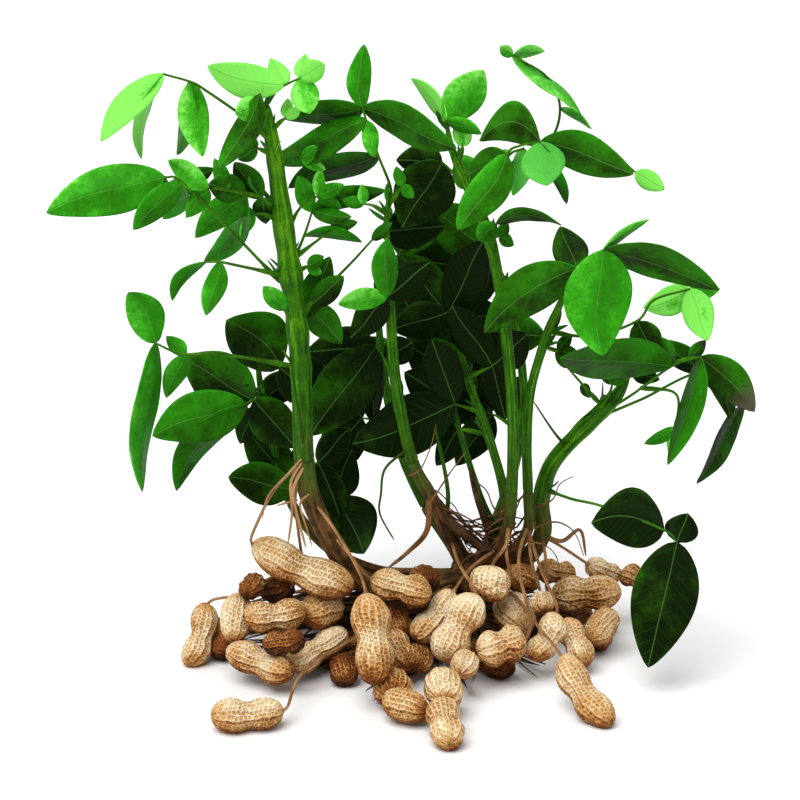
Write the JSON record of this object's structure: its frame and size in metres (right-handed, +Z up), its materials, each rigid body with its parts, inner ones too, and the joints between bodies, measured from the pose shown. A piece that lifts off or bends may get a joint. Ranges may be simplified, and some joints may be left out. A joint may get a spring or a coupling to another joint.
{
  "type": "uprooted peanut plant",
  "caption": "Uprooted peanut plant standing on its heap of ridged, netted pods, with a root crown, thin pegs and leafy stems of folded oval leaflets.",
  "frame": {"origin": "centre of the bounding box in X and Y, on the surface that the pods lie on", "axes": "+Z up, +X to the right as seen from the front, +Y away from the front viewer"},
  "size_m": [0.3444, 0.2261, 0.3211],
  "materials": {
    "green_growth": "satin leaf skin",
    "root_bark": "rough root bark",
    "pod_shell": "dry netted shell"
  },
  "bodies": {
    "root": {"stem_left": "green_growth", "stem_left_back": "green_growth", "stem_centre_left": "green_growth", "stem_centre": "green_growth", "stem_centre_right": "green_growth", "stem_right": "green_growth", "stem_far_right": "green_growth", "stem_back_left": "green_growth", "stem_back_right": "green_growth", "root_crown": "root_bark", "pod_back_1": "pod_shell", "pod_back_2": "pod_shell", "pod_back_3": "pod_shell", "pod_back_4": "pod_shell", "pod_back_5": "pod_shell", "pod_under_1": "pod_shell", "pod_under_2": "pod_shell", "pod_under_3": "pod_shell", "pod_under_4": "pod_shell", "pod_dark_low": "pod_shell", "pod_far_left": "pod_shell", "pod_front_far_right": "pod_shell", "pod_front_end": "pod_shell", "pod_front_left": "pod_shell", "pod_front": "pod_shell", "pod_round_front": "pod_shell", "pod_brown_front": "pod_shell", "pod_right": "pod_shell", "pod_right_edge": "pod_shell", "pod_right_lower": "pod_shell", "pod_curved_right": "pod_shell", "pod_small_light": "pod_shell", "pod_front_right": "pod_shell", "pod_small_right": "pod_shell", "pod_round_right": "pod_shell", "pod_centre_front": "pod_shell", "pod_round_top": "pod_shell", "pod_centre_lean": "pod_shell", "pod_upright_centre": "pod_shell", "pod_centre_back": "pod_shell", "pod_big_left": "pod_shell", "pod_left_round": "pod_shell", "pod_left_middle": "pod_shell", "pod_left_end": "pod_shell", "pod_left_low_right": "pod_shell", "pod_left_low": "pod_shell", "pod_small_brown": "pod_shell", "pod_brown_centre": "pod_shell", "pod_small_brown_left": "pod_shell", "pod_dark_left_low": "pod_shell", "pod_dark_centre": "pod_shell", "pod_deep_centre": "pod_shell", "pod_brown_left": "pod_shell", "pod_dark_left": "pod_shell", "pod_behind_centre": "pod_shell", "pod_behind_right": "pod_shell", "pod_far_right": "pod_shell", "pod_far_right_back": "pod_shell"}
  },
  "joints": []
}
